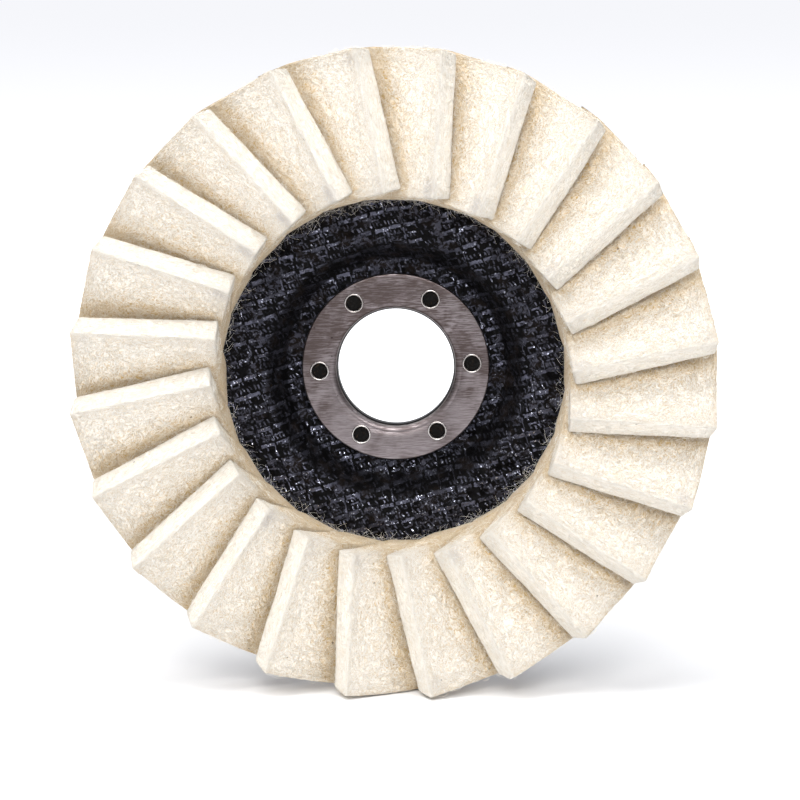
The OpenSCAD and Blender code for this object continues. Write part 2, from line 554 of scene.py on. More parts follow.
@dataclass(frozen=True)
class ResinCloth:
    """Black resin over open glass cloth: flat yarn pieces carrying a slate-grey painted reflection
    of the room and painted glints, with black pits between.
    """

    pit: Triple = (0.0010, 0.0009, 0.0012)
    # Slate-grey painted reflection of the room in the glossy resin over the yarn pieces.
    slate_painted_reflection: Triple = (0.092, 0.094, 0.127)
    # Colour of the painted glints.
    glint: Triple = (0.62, 0.65, 0.78)
    brown: Triple = (0.008, 0.0055, 0.0045)
    fray: float = 0.26

    @staticmethod
    def pieces(s: Shade, grid: Socket, bars: Bars) -> tuple[Socket, Socket]:
        """Draws one family of yarn pieces.

        Args:
            s: the material.
            grid: coordinate that counts the cells of the cloth.
            bars: the family.

        Returns:
            The brightness of its pieces, 0 between them, and their random tilt.
        """
        scaled = s.place(grid, (*bars.cells, 1.0))
        whole = s.node("VectorMath", operation="FLOOR")
        s.link(scaled, whole.inputs[0])
        part = s.node("VectorMath", operation="FRACTION")
        s.link(scaled, part.inputs[0])
        chance = s.node("TexWhiteNoise", noise_dimensions="4D", W=bars.seed)
        s.link(whole.outputs[0], chance.inputs["Vector"])
        draw = s.split(chance.outputs["Color"], "SeparateColor")
        across_at, up_at, _ = s.split(part.outputs[0])
        shift = [s.math("SUBTRACT", value, 0.5) for value in draw[1:]]
        up = s.math("SUBTRACT", up_at, bars.centre[1])
        side = s.math("SUBTRACT", across_at, bars.centre[0])
        side = s.math("SUBTRACT", side, s.math("MULTIPLY", up, bars.slant))
        side = s.math("ADD", side, s.math("MULTIPLY", shift[0], bars.jitter[0]))
        up = s.math("ADD", up, s.math("MULTIPLY", shift[1], bars.jitter[1]))
        across = s.ramp(s.math("ABSOLUTE", side), bars.half[0], bars.half[0] - bars.soft[0])
        along = s.ramp(s.math("ABSOLUTE", up), bars.half[1], bars.half[1] - bars.soft[1])
        there = s.math("GREATER_THAN", draw[0], bars.rarity)
        bright = s.math("MULTIPLY", there, s.ramp(draw[2], 0.0, 1.0, bars.dimmest, 1.0))
        mask = s.math("MULTIPLY", s.math("MULTIPLY", across, along), bright)
        return mask, s.math("MULTIPLY", shift[0], up)

    def make(self) -> Material:
        """Builds the material.

        Returns:
            The material.
        """
        s = Shade("resin_cloth")
        where = s.object_at()
        ragged = s.clouds(where, 1000.0, roughness=0.65, output="Color")
        frayed = s.stir(s.uv("cloth"), ragged, self.fray)
        shown = s.attribute("shown")
        blots = s.clouds(where, 300.0, detail=4.0)
        yarn, leans = None, None
        for family in Yarn:
            mask, lean = self.pieces(s, frayed, family.value)
            yarn = mask if yarn is None else s.math("MAXIMUM", yarn, mask)
            leans = lean if leans is None else s.math("ADD", leans, lean)
        worn = s.math("MULTIPLY", s.ramp(blots, 0.66, 0.42, 0.15, 1.0), shown)
        veins = s.clouds(where, 700.0, detail=4.0, distortion=1.4)
        holes = s.clouds(where, 1250.0, detail=2.0, distortion=0.8)
        smear = s.math("MULTIPLY", s.ramp(veins, 0.49, 0.60, 0.0, 0.40), s.ramp(blots, 0.42, 0.58))
        tone = s.math("MAXIMUM", s.math("MULTIPLY", yarn, worn), s.math("MULTIPLY", smear, shown))
        tone = s.math("MULTIPLY", tone, s.ramp(holes, 0.37, 0.45, 0.10, 1.15))
        ground = s.colour(s.ramp(blots, 0.50, 0.72), self.pit, self.brown)
        _, _, level = s.split(where)
        # Painted glints: small bright metallic dots on the yarn pieces, made stronger towards the
        # bottom, where the overhead light reaches past the flaps.
        painted_glints = s.math("MULTIPLY", s.dots(frayed, 6.5, size=0.36, rarity=0.48), tone)
        painted_glints = s.math("MULTIPLY", painted_glints, s.ramp(level, 0.010, -0.022, 0.8, 4.0))
        painted_glints = s.math("MINIMUM", painted_glints, 1.0)
        # Painted reflection: the yarn pieces take the slate colour, partly metallic, in place of
        # the room reflected in the resin.
        yarn_painted_reflection = s.colour(painted_glints, self.slate_painted_reflection, self.glint)
        s.feed("Base Color", s.colour(tone, ground, yarn_painted_reflection))
        s.feed("Metallic", s.math("MAXIMUM", s.math("MULTIPLY", tone, 0.6), painted_glints))
        s.feed("Roughness", s.math("ADD", s.ramp(tone, 0.1, 0.6, 0.58, 0.24),
                                   s.ramp(blots, 0.4, 0.7, 0.0, 0.12)))
        s.set(Specular_IOR_Level=0.07)
        fine = s.clouds(where, 2100.0, roughness=0.6)
        height = s.math("ADD", yarn, s.math("MULTIPLY", leans, 7.0))
        height = s.math("ADD", height, s.math("MULTIPLY", s.math("ADD", fine, blots), 0.35))
        s.bump(height, 0.00028, 0.8)
        return s.block


@dataclass(frozen=True)
class BrushedSteel:
    """Satin steel with a straight, nearly level grain, warm stains and small pits; painted lighter
    towards the bottom, with a painted highlight round the hole and painted shade on its wall.
    """

    light: Triple = (0.232, 0.204, 0.212)
    warm: Triple = (0.078, 0.060, 0.058)
    shadow: Triple = (0.010, 0.008, 0.008)
    # Colour of the painted highlight round the hole.
    painted_bore_highlight: Triple = (0.55, 0.53, 0.54)
    pitted: Triple = (0.03, 0.022, 0.022)
    roughness: float = 0.34
    grain: float = 1.0
    tilt: float = 2.0

    def make(self, name: str) -> Material:
        """Builds the material.

        Args:
            name: name of the material.

        Returns:
            The material.
        """
        s = Shade(name)
        where = s.object_at()
        tilted = s.node("Mapping", Rotation=(0.0, math.radians(self.tilt), 0.0))
        s.link(where, tilted.inputs["Vector"])
        stretched = s.node("Mapping", Scale=(330.0, 900.0, 4600.0))
        s.link(tilted.outputs[0], stretched.inputs["Vector"])
        lines = s.clouds(stretched.outputs[0], 1.0, detail=4.0, roughness=0.65)
        stains = s.clouds(where, 150.0, detail=5.0, distortion=0.8)
        _, _, level = s.split(where)
        share = s.math("ADD", s.ramp(stains, 0.35, 0.7, 0.0, 0.75),
                       s.ramp(lines, 0.41, 0.59, 0.0, 0.70))
        # Painted light: the grain and stains are thinned towards the bottom, so the ring is
        # lighter at the bottom and darker at the top.
        share = s.math("MULTIPLY", share, s.ramp(level, -0.014, 0.012, 0.66, 1.15))
        base = s.colour(share, self.light, self.warm)
        pits = s.dots(where, 900.0, size=0.22, rarity=0.96)
        base = s.colour(s.math("MULTIPLY", pits, 0.7), base, self.pitted)
        bore = s.attribute("bore")
        # Painted highlight: a thin light ring just outside the wall of the hole.
        rim = s.math("MULTIPLY", s.ramp(bore, 0.30, 0.45), s.ramp(bore, 0.75, 0.60))
        base = s.colour(s.math("MULTIPLY", rim, 0.6), base, self.painted_bore_highlight)
        s.feed("Base Color", s.colour(s.ramp(bore, 0.70, 0.85), base, self.shadow))
        spread = s.ramp(lines, 0.3, 0.7, self.roughness - 0.07, self.roughness + 0.10)
        s.feed("Roughness", s.math("ADD", spread, s.ramp(stains, 0.4, 0.8, 0.0, 0.08)))
        s.set(Metallic=1.0)
        s.bump(s.math("SUBTRACT", lines, s.math("MULTIPLY", pits, 0.8)), 0.00003, 0.6 * self.grain)
        return s.block


@dataclass(frozen=True)
class FibreResin:
    """Dark pressed resin with chopped fibre, seen at the plate's edge and in the keying holes."""

    resin: Triple = (0.0022, 0.0018, 0.0016)
    fibre: Triple = (0.022, 0.014, 0.009)

    def make(self) -> Material:
        """Builds the material.

        Returns:
            The material.
        """
        s = Shade("fibre_resin")
        chips = s.clouds(s.object_at(), 1400.0, distortion=1.2)
        s.feed("Base Color", s.colour(s.ramp(chips, 0.55, 0.72), self.resin, self.fibre))
        s.feed("Roughness", s.ramp(chips, 0.3, 0.7, 0.45, 0.8))
        s.set(Specular_IOR_Level=0.12)
        s.bump(chips, 0.0004, 1.0)
        return s.block


@dataclass(frozen=True)
class HoneyGlue:
    """Amber epoxy, smooth and a little cloudy, with small bubbles."""

    clear: Triple = (0.30, 0.17, 0.06)
    cloudy: Triple = (0.46, 0.33, 0.18)

    def make(self) -> Material:
        """Builds the material.

        Returns:
            The material.
        """
        s = Shade("honey_glue")
        where = s.object_at()
        cloud = s.clouds(where, 240.0)
        bubbles = s.dots(where, 1100.0, size=0.35, rarity=0.8)
        s.feed("Base Color", s.colour(s.ramp(cloud, 0.35, 0.7), self.clear, self.cloudy))
        s.feed("Roughness", s.ramp(cloud, 0.3, 0.7, 0.12, 0.32))
        s.set(Coat_Weight=0.3, Coat_Roughness=0.1)
        s.bump(s.math("ADD", cloud, s.math("MULTIPLY", bubbles, 0.4)), 0.00025, 0.6)
        return s.block


# ---------------------------------------------------------------- felt


@dataclass
class FlapRing:
    """The ring of overlapping felt flaps, each laid over the next one clockwise."""

    count: int = 24
    thickness: float = 5.1
    inner: float = 33.1
    outer: float = 59.6
    corner_r: float = 60.7
    edge_offset: float = 9.45
    lean_inner: float = 38.0
    lean_outer: float = 29.7
    edge_h_inner: float = 7.05
    edge_h_outer: float = 7.9
    heel: float = 1.4
    first_turn: float = 1.8
    rounding: float = 0.42
    splay: float = 0.95
    flare: float = 0.9
    bow_length: float = 14.0
    # The inner end is pressed down below this height and within this share of the length.
    press_below: float = 5.5
    press_share: float = 0.12
    # Length of felt that lies under the next flap, for the map.
    tucked: float = 8.0
    # Faces along a flap's three sides, and how much they crowd towards its corners, 0 to 1.
    steps: tuple[int, int, int] = (34, 46, 8)
    crowding: Triple = (0.75, 0.6, 0.35)
    # Depth in mm of the felt's broad waves, of its pills and of its grain.
    waves: Triple = (0.16, 0.055, 0.03)
    fuzz: int = 900
    fuzz_r: float = 0.021
    fuzz_points: int = 4
    # Rough size of a flap along its three sides, in mm.
    span: Triple = (18.0, 27.0, 5.1)
    rises: tuple[float, ...] = (0.05, 0.08, 0.12, 0.3, 0.55)
    seed: int = 22
    # How each flap was set by hand: turn in degrees, then raised edge, inner and outer end in mm.
    hand_set: tuple[tuple[float, float, float, float], ...] = (
        (0.68, -0.35, 0.07, 0.23), (0.46, -0.28, -0.01, 0.11), (0.17, -0.13, 0.18, -0.11),
        (0.18, -0.22, -0.03, -0.04), (-0.16, -0.19, -0.28, -0.15), (-0.10, 0.12, -0.40, -0.30),
        (0.16, 0.10, -0.20, -0.13), (0.14, 0.12, -0.10, -0.05), (0.33, -0.02, 0.02, -0.28),
        (-0.08, 0.12, 0.25, 0.06), (0.08, -0.03, 0.15, 0.30), (-0.08, -0.15, -0.16, 0.30),
        (0.15, -0.19, 0.35, 0.45), (-0.04, 0.12, 0.26, 0.32), (0.07, 0.20, 0.19, -0.19),
        (0.27, -0.05, 0.14, -0.08), (0.00, -0.26, 0.05, -0.11), (0.36, -0.24, 0.11, -0.19),
        (-0.38, 0.01, -0.25, -0.40), (-0.18, 0.16, 0.30, -0.35), (-0.08, 0.14, 0.12, -0.42),
        (-0.25, 0.08, 0.08, -0.36), (0.06, 0.18, 0.30, -0.15), (0.31, -0.18, 0.29, 0.20),
    )

    def __post_init__(self) -> None:
        """Reads the levels of the plate and of the adhesive from the frame."""
        self.plate_z, self.bed_z = flat_depth("adhesive_bed")

    def flap_point(self, share: Vector, shape: dict[str, float]) -> Vector:
        """Where a point of a flap lies.

        Args:
            share: place in the flap, from 0 to 1: from the raised edge to the foot, from the
                inner end to the outer end, and from the underside to the top.
            shape: small differences of this flap.

        Returns:
            The point in mm, with the flap pointing to the top of the wheel.
        """
        radius = self.rounding
        inner = self.inner + shape["inner"]
        outer = self.outer + shape["outer"]
        v = mix(inner, outer, share.y)
        n = share.z * self.thickness
        lean = math.radians(mix(self.lean_inner, self.lean_outer, share.y) + shape["lean"])
        high = mix(self.edge_h_inner, self.edge_h_outer, share.y) + shape["height"]
        foot = 0.0 if v < inner + self.heel else self.bed_z - self.plate_z
        reach = (high + n * math.cos(lean) - foot) / math.sin(lean)
        a = share.x * reach
        core = Vector((max(a, radius), min(max(v, inner + radius), outer - radius),
                       min(max(n, radius), self.thickness - radius)))
        away = Vector((a, v, n)) - core
        if away.length > 1e-9:
            a, v, n = core + away.normalized() * radius
        v += self.splay * (n / self.thickness - 0.3) * smooth(0.5, 1.0, share.y)
        bow = shape["bow"] * math.sin(math.pi * min(1.0, a / self.bow_length)) * math.sin(lean)
        n += bow
        side = self.edge_offset + shape["edge"] - a * math.cos(lean) - n * math.sin(lean)
        up = max(high - a * math.sin(lean) + n * math.cos(lean), foot + 0.01)
        pressed = smooth(self.press_below, 0.0, up) * smooth(self.press_share, 0.0, share.y)
        v -= (self.flare + 0.5 * (inner - math.sqrt(inner * inner - side * side))) * pressed
        v = min(v, math.sqrt(self.corner_r * self.corner_r - side * side))
        return Vector((side, v, up))

    def differences(self, number: int, look: random.Random) -> dict[str, float]:
        """Collects the small differences of one hand-set flap.

        Args:
            number: which flap.
            look: the random numbers of this flap.

        Returns:
            Offsets in mm and degrees by name.
        """
        turn, edge, inner, outer = self.hand_set[number - 1]
        return {
            "turn": turn,
            "edge": edge,
            "inner": inner,
            "outer": outer,
            "lean": look.uniform(-0.2, 0.2),
            "height": look.uniform(-0.12, 0.12),
            "bow": look.uniform(-0.05, 0.2),
            "soil": max(0.0, look.uniform(-0.4, 0.9)),
            "soil_out": max(0.0, look.uniform(-0.7, 0.6)),
        }

    def build_slab(self, number: int, shape: dict[str, float]) -> BMesh:
        """Builds one flap pointing to the top of the wheel.

        Args:
            number: which flap, for its noise.
            shape: its small differences.

        Returns:
            The flap's mesh in mm with its cloth coordinates, its amount of painted shade in the
            fold and its soil values.
        """
        bm = bmesh.new()
        bmesh.ops.create_cube(bm, size=1.0, matrix=Matrix.Translation((0.5, 0.5, 0.5)))
        for axis, cuts in enumerate(self.steps):
            along = [e for e in bm.edges
                     if abs((e.verts[0].co - e.verts[1].co)[axis]) > 0.5]
            bmesh.ops.subdivide_edges(bm, edges=along, cuts=cuts - 1, use_grid_fill=True)
        uv = bm.loops.layers.uv.new("felt_cm")
        painted_fold_shade = bm.verts.layers.float.new("painted_fold_shade")
        soil = bm.verts.layers.float.new("soil")
        cut = bm.verts.layers.float.new("cut")
        slope = self.edge_h_outer / math.sin(math.radians(self.lean_outer)) + self.tucked
        sizes = Vector((slope, self.outer - self.inner, self.thickness)) * 0.1
        shift = Vector((3.7 * number, 5.3 * number))
        for face in bm.faces:
            normal = face.normal
            axis = max(range(3), key=lambda k: abs(normal[k]))
            first, second = ((1, 2), (0, 2), (0, 1))[axis]
            for loop in face.loops:
                co = loop.vert.co
                loop[uv].uv = (co[first] * sizes[first] + shift.x + 2.0 * axis,
                               co[second] * sizes[second] + shift.y)
        for vert in bm.verts:
            share = vert.co.copy()
            for axis in range(3):
                pull = self.crowding[axis] / (2 * math.pi)
                share[axis] -= pull * math.sin(2 * math.pi * share[axis])
            # Painted shade in the fold under the neighbour's raised edge.
            vert[painted_fold_shade] = self.painted_fold_shade_at(share)
            vert[soil] = self.soil_at(share, shape)
            vert[cut] = smooth(0.05, 0.0, share.x)
            vert.co = self.flap_point(share, shape)
        bm.normal_update()
        moves = []
        for vert in bm.verts:
            at = vert.co * 0.16 + Vector((7.1 * number, 0, 0))
            pill = vert.co * 1.3 + Vector((0, 9.7 * number, 0))
            lift = sum(deep * noise.noise(where)
                       for deep, where in zip(self.waves, (at, pill, pill * 2.7)))
            moves.append(vert.normal * lift)
        for vert, move in zip(bm.verts, moves):
            if vert.co.z > self.bed_z - self.plate_z + 0.5:
                vert.co += move
        return bm

    @staticmethod
    def painted_fold_shade_at(share: Vector) -> float:
        """Gives the painted shade of a point of a flap from how near it is to its neighbour's
        raised edge.

        Args:
            share: place in the flap.

        Returns:
            0 on the open felt to 1 in the fold, where the painted shade is deepest.
        """
        beyond = share.x - mix(0.39, 0.60, share.y)
        # The outer end is tinted tan as well: partly the felt's own tone there and partly painted
        # shade.
        rim = 0.25 * smooth(0.94, 1.0, share.y)
        near, nearest = smooth(-0.26, -0.02, beyond), smooth(-0.050, -0.008, beyond)
        return min(1.0, 0.34 * near + 0.66 * nearest + rim)

    @staticmethod
    def soil_at(share: Vector, shape: dict[str, float]) -> float:
        """Gives the grey soiling near a flap's raised inner and outer corners.

        Args:
            share: place in the flap.
            shape: small differences of this flap.

        Returns:
            0 where the felt is clean to about 1 where it is soiled.
        """
        inner = Vector((share.x - 0.07, (share.y - 0.07) * 0.9)).length
        outer = Vector((share.x - 0.08, (share.y - 0.92) * 1.2)).length
        return (shape["soil"] * smooth(0.11, 0.01, inner)
                + shape["soil_out"] * smooth(0.10, 0.01, outer)) * smooth(0.7, 0.95, share.z)

    def turn_of(self, number: int, shape: dict[str, float]) -> Matrix:
        """Turn of a flap from the top of the wheel to its own place."""
        degrees = self.first_turn + (number - 1) * 360.0 / self.count + shape["turn"]
        level = Matrix.Translation((0, 0, self.plate_z))
        return level @ Matrix.Rotation(-math.radians(degrees), 4, "Z")

    def build_fuzz(self, number: int, shape: dict[str, float],
                   look: random.Random) -> bpy.types.Curve:
        """Draws the loose fibres that stand or lie on one flap.

        Args:
            number: which flap.
            shape: its small differences.
            look: its random numbers.

        Returns:
            A curve with one short spline for each fibre, in mm, lying flat.
        """
        turn = self.turn_of(number, shape)
        curve = hair_curve("fibres", self.fuzz_r, smoothness=3)
        for _ in range(self.fuzz):
            root = self.fuzz_root(look)
            heading = Vector((look.uniform(-1, 1) / self.span[0],
                              look.uniform(-1, 1) / self.span[1],
                              0.0 if root.z > 0.99 else look.uniform(-1, 1) / self.span[2]))
            heading *= look.uniform(0.8, 2.2)
            rise = look.choice(self.rises)
            points = []
            for step in range(self.fuzz_points):
                t = step / (self.fuzz_points - 1)
                stray = Vector((look.gauss(0, 0.012), look.gauss(0, 0.010), 0))
                place = root + heading * t + stray * t
                inside = Vector((min(max(place.x, 0.0), 0.97), min(max(place.y, 0.0), 1.0),
                                 min(max(place.z, 0.0), 1.0)))
                base = self.flap_point(inside, shape)
                lift = self.fuzz_lift(root, rise * math.sin(math.pi * (0.15 + 0.7 * t)) + 0.05)
                points.append(turn @ (base + lift))
            for point, at in zip(hair(curve, self.fuzz_points).points, points):
                point.co = (*at, 1.0)
                point.radius = look.uniform(0.6, 1.25)
        return curve

    @staticmethod
    def fuzz_root(look: random.Random) -> Vector:
        """Picks where a fibre starts: mostly on the top, else on the raised edge or an end.

        Args:
            look: the random numbers of this flap.

        Returns:
            Its place in the flap, as shares.
        """
        kind = look.random()
        if kind < 0.62:
            return Vector((look.uniform(0.0, 0.62), look.uniform(0.0, 1.0), 1.0))
        if kind < 0.80:
            return Vector((0.0, look.uniform(0.0, 1.0), look.uniform(0.0, 1.0)))
        if kind < 0.92:
            return Vector((look.uniform(0.0, 0.6), 1.0, look.uniform(0.0, 1.0)))
        return Vector((look.uniform(0.0, 0.6), 0.0, look.uniform(0.2, 1.0)))

    def fuzz_lift(self, root: Vector, rise: float) -> Vector:
        """Offset of a fibre off the face that it starts on.

        Args:
            root: where it starts.
            rise: how far it stands off, in mm.

        Returns:
            The offset in mm.
        """
        lean = math.radians(mix(self.lean_inner, self.lean_outer, root.y))
        if root.z > 0.99:
            return Vector((-math.sin(lean), 0, math.cos(lean))) * rise
        if root.x < 0.01:
            return Vector((math.cos(lean), 0, math.sin(lean))) * rise
        return Vector((0, 1 if root.y > 0.5 else -1, 0)) * rise

    def build(self, felt: Material, fibre: Material) -> None:
        """Builds every flap and its loose fibres.

        Args:
            felt: finish of the flaps.
            fibre: finish of the fibres.
        """
        for number in range(1, self.count + 1):
            look = random.Random(self.seed * 100 + number)
            shape = self.differences(number, look)
            bm = self.build_slab(number, shape)
            bmesh.ops.transform(bm, matrix=self.turn_of(number, shape), verts=bm.verts[:])
            slab = finish_mesh(f"felt_flap_{number:02d}", bm)
            dress(slab, felt, [f"flap_{number:02d}"])
            curve = self.build_fuzz(number, shape, look)
            dress(tubes(f"loose_fibres_{number:02d}", curve), fibre)


def hair_curve(name: str, radius: float, smoothness: int) -> bpy.types.Curve:
    """Starts an empty curve whose splines become thin tubes.

    Args:
        name: name of the curve.
        radius: radius of a tube, in mm.
        smoothness: pieces between two points of a spline.

    Returns:
        The curve.
    """
    curve = bpy.data.curves.new(name, "CURVE")
    curve.dimensions = "3D"
    curve.bevel_depth = radius
    curve.bevel_resolution = 0
    curve.resolution_u = smoothness
    return curve


def hair(curve: bpy.types.Curve, points: int) -> bpy.types.Spline:
    """Adds a smooth spline that reaches its end points.

    Args:
        curve: the curve, changed in place.
        points: number of points.

    Returns:
        The spline, with its points still to be placed.
    """
    spline = curve.splines.new("NURBS")
    spline.points.add(points - 1)
    spline.order_u = 3
    spline.use_endpoint_u = True
    return spline


def tubes(name: str, curve: bpy.types.Curve) -> Object:
    """Turns a flat-drawn curve in mm into a standing mesh of thin tubes in metres.

    Args:
        name: name of the new object.
        curve: the curve, which is removed.

    Returns:
        The new object.
    """
    carrier = put_in_scene(name + "_line", curve)
    mesh = applied(carrier)
    bpy.data.objects.remove(carrier)
    bpy.data.curves.remove(curve)
    bm = bmesh.new()
    bm.from_mesh(mesh)
    bpy.data.meshes.remove(mesh)
    return finish_mesh(name, bm, recalc=False)


# ---------------------------------------------------------------- plate


def turned(outline: list[Vector], around: int) -> BMesh:
    """Turns a closed outline round the wheel's axis by bending a flat grid into a ring.

    Args:
        outline: its points as radius and height, in mm.
        around: number of steps round the axis.

    Returns:
        The closed ring, lying flat.
    """
    bm = bmesh.new()
    rows = len(outline)
    bmesh.ops.create_grid(bm, x_segments=around, y_segments=rows, size=0.5)
    for vert in bm.verts:
        angle = 2 * math.pi * round((vert.co.x + 0.5) * around) / around
        point = outline[round((vert.co.y + 0.5) * rows) % rows]
        vert.co = (point.x * math.cos(angle), point.x * math.sin(angle), point.y)
    bmesh.ops.remove_doubles(bm, verts=bm.verts[:], dist=1e-4)
    return bm


@dataclass
class Weave:
    """Open glass cloth set in resin, laid out as cells of one warp and one weft pitch."""

    warp_pitch: float = 3.1
    weft_pitch: float = 3.4
    turn: float = 15.0
    drift: float = 0.7
    relief: float = 0.34
    seed: int = 5

    def place(self, x: float, y: float) -> tuple[float, float]:
        """Counts the cells of the cloth to a point of the flat plate.

        Args:
            x: place across, in mm.
            y: place up, in mm.

        Returns:
            Cells along the weft and cells along the warp.
        """
        at = Vector((x * 0.10, y * 0.10, self.seed))
        x += self.drift * noise.noise(at)
        y += self.drift * noise.noise(at + Vector((0, 0, 4.4)))
        angle = math.radians(self.turn)
        return ((x * math.cos(angle) + y * math.sin(angle)) / self.warp_pitch,
                (y * math.cos(angle) - x * math.sin(angle)) / self.weft_pitch)

    @staticmethod
    def height(along: float, across: float) -> float:
        """Gives the height of the cloth.

        Args:
            along: cells along the weft.
            across: cells along the warp.

        Returns:
            0 in a pit to about 1 on a yarn.
        """
        in_column = along - math.floor(along)
        in_row = across - math.floor(across)
        band = smooth(0.17, 0.07, abs(in_row - 0.84)) * smooth(0.50, 0.38, abs(in_column - 0.5))
        dash = smooth(0.13, 0.04, abs(in_row - 0.41)) * smooth(0.36, 0.20, abs(in_column - 0.44))
        jolt = noise.cell(Vector((math.floor(along), math.floor(across), 3.0)))
        return max(band * (0.8 + 0.2 * jolt), 0.7 * dash)


@dataclass
class BackingPlate:
    """The two woven plies of the dished plate, the core between them and the adhesive on it."""

    floor_r: float = 20.3
    slope: float = 60.0
    bend_in: float = 1.0
    bend_slack: float = 0.8
    ply: float = 0.5
    ply_hole_r: float = 12.3
    bed_inner_r: float = 35.3
    # Radii between which the cloth shows on the working side, and where it starts on the other.
    work_cloth: tuple[float, float] = (17.6, 35.0)
    drive_cloth_from: float = 16.6
    rim_margin: float = 0.2
    # Length of a face where the cloth shows, how much longer it is on the drive side, and
    # its length where no cloth shows.
    cell: float = 0.30
    drive_cell: float = 1.5
    plain_cell: float = 1.6
    hidden_step: int = 6
    around: int = 600
    bed_around: int = 360

    def __post_init__(self) -> None:
        """Reads the plate's levels and radii from the frame."""
        self.drive_floor_z, _ = flat_depth("back_glass_ply")
        _, self.plate_z = flat_depth("front_glass_ply")
        self.floor_z = -self.drive_floor_z
        self.composite = self.floor_z - self.drive_floor_z
        self.rim_r = node_radius("front_glass_ply")
        self.bend_out = self.composite + self.bend_slack

    def line(self, depth: float) -> Callable[[float], tuple[Vector, Vector]]:
        """Gives the plate's profile at a depth below its working face.

        Args:
            depth: depth below that face, in mm.

        Returns:
            A function from a length along the profile, from the hub outwards, to the point
            and the unit vector towards the working side, both in the radius-height plane.
        """
        angle = math.radians(self.slope)
        rise = self.plate_z - self.floor_z
        bends = self.bend_in + self.bend_out
        wall = (rise - bends * (1 - math.cos(angle))) / math.sin(angle)
        r_in, r_out = self.bend_in + depth, self.bend_out - depth
        out_x = self.floor_r + bends * math.sin(angle) + wall * math.cos(angle)
        marks = (self.floor_r, r_in * angle, wall, r_out * angle)

        def at(length: float) -> tuple[Vector, Vector]:
            """Follows the profile.

            Args:
                length: length along the profile from the axis.

            Returns:
                The point there and the unit vector towards the working side.
            """
            if length < marks[0]:
                return Vector((length, self.floor_z - depth)), Vector((0, 1))
            length -= marks[0]
            if length < marks[1]:
                t = length / r_in
                up = Vector((-math.sin(t), math.cos(t)))
                return Vector((self.floor_r, self.floor_z + self.bend_in)) - up * r_in, up
            length -= marks[1]
            up = Vector((-math.sin(angle), math.cos(angle)))
            if length < marks[2]:
                start = Vector((self.floor_r, self.floor_z + self.bend_in)) - up * r_in
                return start + Vector((math.cos(angle), math.sin(angle))) * length, up
            length -= marks[2]
            if length < marks[3]:
                t = angle - length / r_out
                up = Vector((-math.sin(t), math.cos(t)))
                return Vector((out_x, self.plate_z - self.bend_out)) + up * r_out, up
            return Vector((out_x + length - marks[3], self.plate_z - depth)), Vector((0, 1))

        return at

    def build_ply(self, side: Side, fine_from: float, fine_to: float, weave: Weave) -> BMesh:
        """Builds one woven ply as a thin closed shell with its cloth in relief.

        Args:
            side: which face of the plate it is on.
            fine_from: radius where the cloth starts to show.
            fine_to: radius where it stops showing.
            weave: its cloth.

        Returns:
            The mesh in mm, lying flat.
        """
        face_depth = 0.0 if side is Side.WORK else self.composite
        hidden_depth = self.ply if side is Side.WORK else self.composite - self.ply
        shown = self.line(face_depth)
        hidden = self.line(hidden_depth)
        cell = self.cell if side is Side.WORK else self.cell * self.drive_cell
        lengths, length = [], 0.0
        while shown(length)[0].x < self.rim_r:
            radius = shown(length)[0].x
            if radius >= self.ply_hole_r:
                lengths.append(length)
            length += cell if fine_from <= radius <= fine_to else self.plain_cell
        outline = [shown(value)[0] for value in lengths] + [
            Vector((self.rim_r, self.plate_z - face_depth))]
        under = [hidden(value)[0] for value in lengths[::self.hidden_step]]
        outline += [Vector((self.rim_r, self.plate_z - hidden_depth))] + under[::-1]
        bm = turned(outline, self.around)
        bmesh.ops.recalc_face_normals(bm, faces=bm.faces[:])
        bm.normal_update()
        self.raise_cloth(bm, side, fine_from, fine_to, weave)
        return bm

    def raise_cloth(self, bm: BMesh, side: Side, fine_from: float, fine_to: float,
                    weave: Weave) -> None:
        """Lays the cloth's grid on a ply and moves its shown face to the cloth's relief.

        Args:
            bm: the ply, changed in place.
            side: which face of the plate it is on.
            fine_from: radius where the cloth starts to show.
            fine_to: radius where it stops showing.
            weave: its cloth.
        """
        grid = bm.loops.layers.uv.new("cloth")
        shown = bm.verts.layers.float.new("shown")
        mirror = side.value
        places = [weave.place(vert.co.x * mirror, vert.co.y) for vert in bm.verts]
        bm.verts.index_update()
        for face in bm.faces:
            for loop in face.loops:
                loop[grid].uv = places[loop.vert.index]
        moves = []
        for vert in bm.verts:
            radius = math.hypot(vert.co.x, vert.co.y)
            outwards = vert.normal.z * mirror
            if outwards < 0.2 or not fine_from <= radius <= fine_to:
                continue
            pressed = 1.0 - 0.75 * smooth(0.97, 0.6, outwards)
            vert[shown] = pressed
            fade = smooth(fine_from, fine_from + 1.0, radius)
            fade *= smooth(fine_to, fine_to - 0.8, radius)
            lump = 0.35 * noise.noise(vert.co * 1.1) + 0.25 * noise.noise(vert.co * 2.6)
            high = weave.height(*places[vert.index])
            lift = (high - 0.75 + lump) * weave.relief * pressed * fade
            moves.append((vert, vert.normal * lift))
        for vert, move in moves:
            vert.co += move

